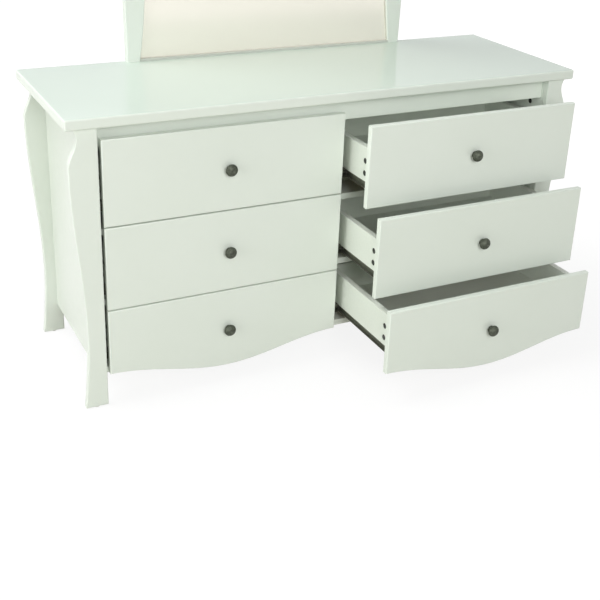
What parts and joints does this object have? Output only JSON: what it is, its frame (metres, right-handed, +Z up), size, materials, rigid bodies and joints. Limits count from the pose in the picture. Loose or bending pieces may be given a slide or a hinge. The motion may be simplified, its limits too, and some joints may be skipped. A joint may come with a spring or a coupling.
{
  "type": "dressing table",
  "caption": "White dressing table: a wide chest of drawers on curved legs with an arched, framed mirror standing on its rear edge. Drawers slide on side runners.",
  "frame": {"origin": "on the floor, under the middle of the bounding box of the piece as it stands with its right-hand drawers open; this is the middle of the width of the table top, with the table top's front edge at Y = -0.0975 m", "axes": "+Z up, -Y the way the drawers open, towards someone standing at the table, +X to that person's right"},
  "size_m": [1.4, 0.755, 1.587],
  "materials": {
    "white_lacquer": "satin white lacquer on board",
    "white_board": "white-faced hardboard",
    "brown_board": "bare hardboard",
    "runner_steel": "dark brown enamelled steel with pale nylon blocks",
    "cam_metal": "dull zinc",
    "plate_steel": "zinc-plated steel",
    "white_plastic": "matt white",
    "mirror_glass": "silvered float glass",
    "dark_pewter": "dark pewter-coloured cast metal, satin"
  },
  "bodies": {
    "cabinet": {"table_top": "white_lacquer", "left_side_panel": "white_lacquer", "right_side_panel": "white_lacquer", "front_left_leg": "white_lacquer", "front_right_leg": "white_lacquer", "rear_left_leg": "white_lacquer", "rear_right_leg": "white_lacquer", "centre_partition": "white_lacquer", "bottom_panel": "white_lacquer", "front_rail": "white_lacquer", "rear_rail": "white_lacquer", "drawer_dividers": "white_lacquer", "back_sheets": "white_board", "left_cabinet_runners": "runner_steel", "right_cabinet_runners": "runner_steel", "cam_locks": "cam_metal", "foot_glides": "white_plastic", "mirror_left_post": "white_lacquer", "mirror_right_post": "white_lacquer", "mirror_crest": "white_lacquer", "mirror_sill": "white_lacquer", "mirror_glass": "mirror_glass", "mirror_backing": "brown_board", "mirror_plates": "plate_steel"},
    "left_lower_drawer": {"left_lower_front": "white_lacquer", "left_lower_sides": "white_lacquer", "left_lower_back": "white_lacquer", "left_lower_bottom": "white_board", "left_lower_knob": "dark_pewter", "left_lower_runners": "runner_steel"},
    "left_middle_drawer": {"left_middle_front": "white_lacquer", "left_middle_sides": "white_lacquer", "left_middle_back": "white_lacquer", "left_middle_bottom": "white_board", "left_middle_knob": "dark_pewter", "left_middle_runners": "runner_steel"},
    "left_upper_drawer": {"left_upper_front": "white_lacquer", "left_upper_sides": "white_lacquer", "left_upper_back": "white_lacquer", "left_upper_bottom": "white_board", "left_upper_knob": "dark_pewter", "left_upper_runners": "runner_steel"},
    "right_lower_drawer": {"right_lower_front": "white_lacquer", "right_lower_sides": "white_lacquer", "right_lower_back": "white_lacquer", "right_lower_bottom": "white_board", "right_lower_knob": "dark_pewter", "right_lower_runners": "runner_steel"},
    "right_middle_drawer": {"right_middle_front": "white_lacquer", "right_middle_sides": "white_lacquer", "right_middle_back": "white_lacquer", "right_middle_bottom": "white_board", "right_middle_knob": "dark_pewter", "right_middle_runners": "runner_steel"},
    "right_upper_drawer": {"right_upper_front": "white_lacquer", "right_upper_sides": "white_lacquer", "right_upper_back": "white_lacquer", "right_upper_bottom": "white_board", "right_upper_knob": "dark_pewter", "right_upper_runners": "runner_steel"}
  },
  "joints": [
    {"name": "left_lower_slide", "type": "slide", "parent": "cabinet", "child": "left_lower_drawer", "axis": [0, -1, 0], "range_m": [0, 0.264]},
    {"name": "left_middle_slide", "type": "slide", "parent": "cabinet", "child": "left_middle_drawer", "axis": [0, -1, 0], "range_m": [0, 0.264]},
    {"name": "left_upper_slide", "type": "slide", "parent": "cabinet", "child": "left_upper_drawer", "axis": [0, -1, 0], "range_m": [0, 0.264]},
    {"name": "right_lower_slide", "type": "slide", "parent": "cabinet", "child": "right_lower_drawer", "axis": [0, -1, 0], "range_m": [-0.264, 0]},
    {"name": "right_middle_slide", "type": "slide", "parent": "cabinet", "child": "right_middle_drawer", "axis": [0, -1, 0], "range_m": [-0.189, 0.075]},
    {"name": "right_upper_slide", "type": "slide", "parent": "cabinet", "child": "right_upper_drawer", "axis": [0, -1, 0], "range_m": [-0.12, 0.144]}
  ]
}
